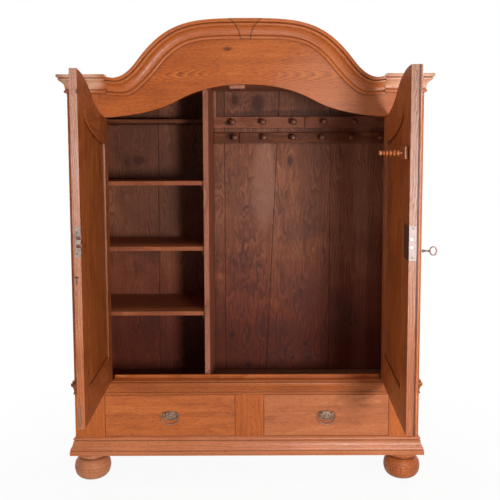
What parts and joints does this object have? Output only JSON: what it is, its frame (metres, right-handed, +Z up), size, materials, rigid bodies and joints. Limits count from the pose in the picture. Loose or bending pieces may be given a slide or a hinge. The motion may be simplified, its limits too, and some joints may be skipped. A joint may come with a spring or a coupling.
{
  "type": "wardrobe",
  "caption": "Freestanding oak wardrobe with an arched pediment, panelled doors, shelves beside a hanging bay with pegs, drawers below and bun feet.",
  "frame": {"origin": "on the floor, centred under the wardrobe's overall box with both doors open", "axes": "+Z up, -Y out of the front through the open doors, +X to the right as seen from the front"},
  "size_m": [1.674, 1.191, 2.125],
  "materials": {
    "oak_outside": "shellac-polished oak, warm orange brown, satin",
    "oak_inside": "dark stained oak, satin",
    "softwood": "unpolished old softwood, dull reddish brown",
    "turned_wood": "turned hardwood, satin",
    "steel": "filed and polished steel",
    "brass": "dull aged brass",
    "copper": "dull copper-coloured sheet"
  },
  "bodies": {
    "root": {"left_front_foot": "oak_outside", "right_front_foot": "oak_outside", "left_rear_foot": "oak_outside", "right_rear_foot": "oak_outside", "base_moulding": "oak_outside", "base_rail": "oak_outside", "left_front_stile": "oak_outside", "right_front_stile": "oak_outside", "waist_rail": "oak_outside", "waist_moulding": "oak_outside", "drawer_muntin": "oak_outside", "frieze_board": "oak_outside", "cornice_left": "oak_outside", "cornice_right": "oak_outside", "keystone": "oak_outside", "left_side": "oak_outside", "right_side": "oak_outside", "back_boards": "softwood", "roof_boards": "softwood", "left_socket_plate": "copper", "right_socket_plate": "copper", "floor_boards": "softwood", "drawer_bed": "softwood", "threshold": "oak_inside", "divider": "oak_inside", "shelf_1": "softwood", "shelf_2": "softwood", "shelf_3": "softwood", "shelf_4": "softwood", "upper_peg_rail": "softwood", "lower_peg_rail": "softwood", "stop_block": "turned_wood"},
    "left_door": {"left_door_hinge_stile": "oak_outside", "left_door_meeting_stile": "oak_outside", "left_door_top_rail": "oak_outside", "left_door_bottom_rail": "oak_outside", "left_door_panel": "oak_inside", "left_door_upper_pin": "steel", "left_door_lower_pin": "steel", "strike_plate": "steel"},
    "right_door": {"right_door_hinge_stile": "oak_outside", "right_door_meeting_stile": "oak_outside", "right_door_top_rail": "oak_outside", "right_door_bottom_rail": "oak_outside", "right_door_panel": "oak_inside", "right_door_upper_pin": "steel", "right_door_lower_pin": "steel", "astragal": "oak_outside", "lock_case": "steel", "tie_peg": "turned_wood"},
    "key": {"key": "steel"},
    "lock_bolts": {"lock_bolts": "steel"},
    "left_drawer": {"left_drawer_front": "oak_outside", "left_drawer_box": "softwood", "left_pull_plate": "brass"},
    "right_drawer": {"right_drawer_front": "oak_outside", "right_drawer_box": "softwood", "right_pull_plate": "brass"},
    "left_bail": {"left_bail": "brass"},
    "right_bail": {"right_bail": "brass"}
  },
  "joints": [
    {"name": "left_door_hinge", "type": "hinge", "parent": "root", "child": "left_door", "pos_m": [-0.647, 0.09546, 1], "axis": [0, 0, 1], "range_deg": [-25, 88.2]},
    {"name": "right_door_hinge", "type": "hinge", "parent": "root", "child": "right_door", "pos_m": [0.647, 0.09546, 1], "axis": [0, 0, -1], "range_deg": [-25, 87.3]},
    {"name": "key_turn", "type": "hinge", "parent": "right_door", "child": "key", "pos_m": [0.62252, -0.5511, 1.172], "axis": [0.9989, -0.0471, 0], "range_deg": [0, 180]},
    {"name": "bolt_throw", "type": "slide", "parent": "right_door", "child": "lock_bolts", "axis": [-0.0471, -0.9989, 0], "range_m": [0, 0.012]},
    {"name": "left_drawer_slide", "type": "slide", "parent": "root", "child": "left_drawer", "axis": [0, -1, 0], "range_m": [0, 0.3]},
    {"name": "right_drawer_slide", "type": "slide", "parent": "root", "child": "right_drawer", "axis": [0, -1, 0], "range_m": [0, 0.3]},
    {"name": "left_bail_swing", "type": "hinge", "parent": "left_drawer", "child": "left_bail", "pos_m": [-0.35775, 0.08146, 0.3315], "axis": [-1, 0, 0], "range_deg": [0, 100]},
    {"name": "right_bail_swing", "type": "hinge", "parent": "right_drawer", "child": "right_bail", "pos_m": [0.36975, 0.08146, 0.3315], "axis": [-1, 0, 0], "range_deg": [0, 100]}
  ],
  "couplings": [
    {"joint": "key_turn", "follows": "bolt_throw", "rad_per_m": 261.5}
  ]
}
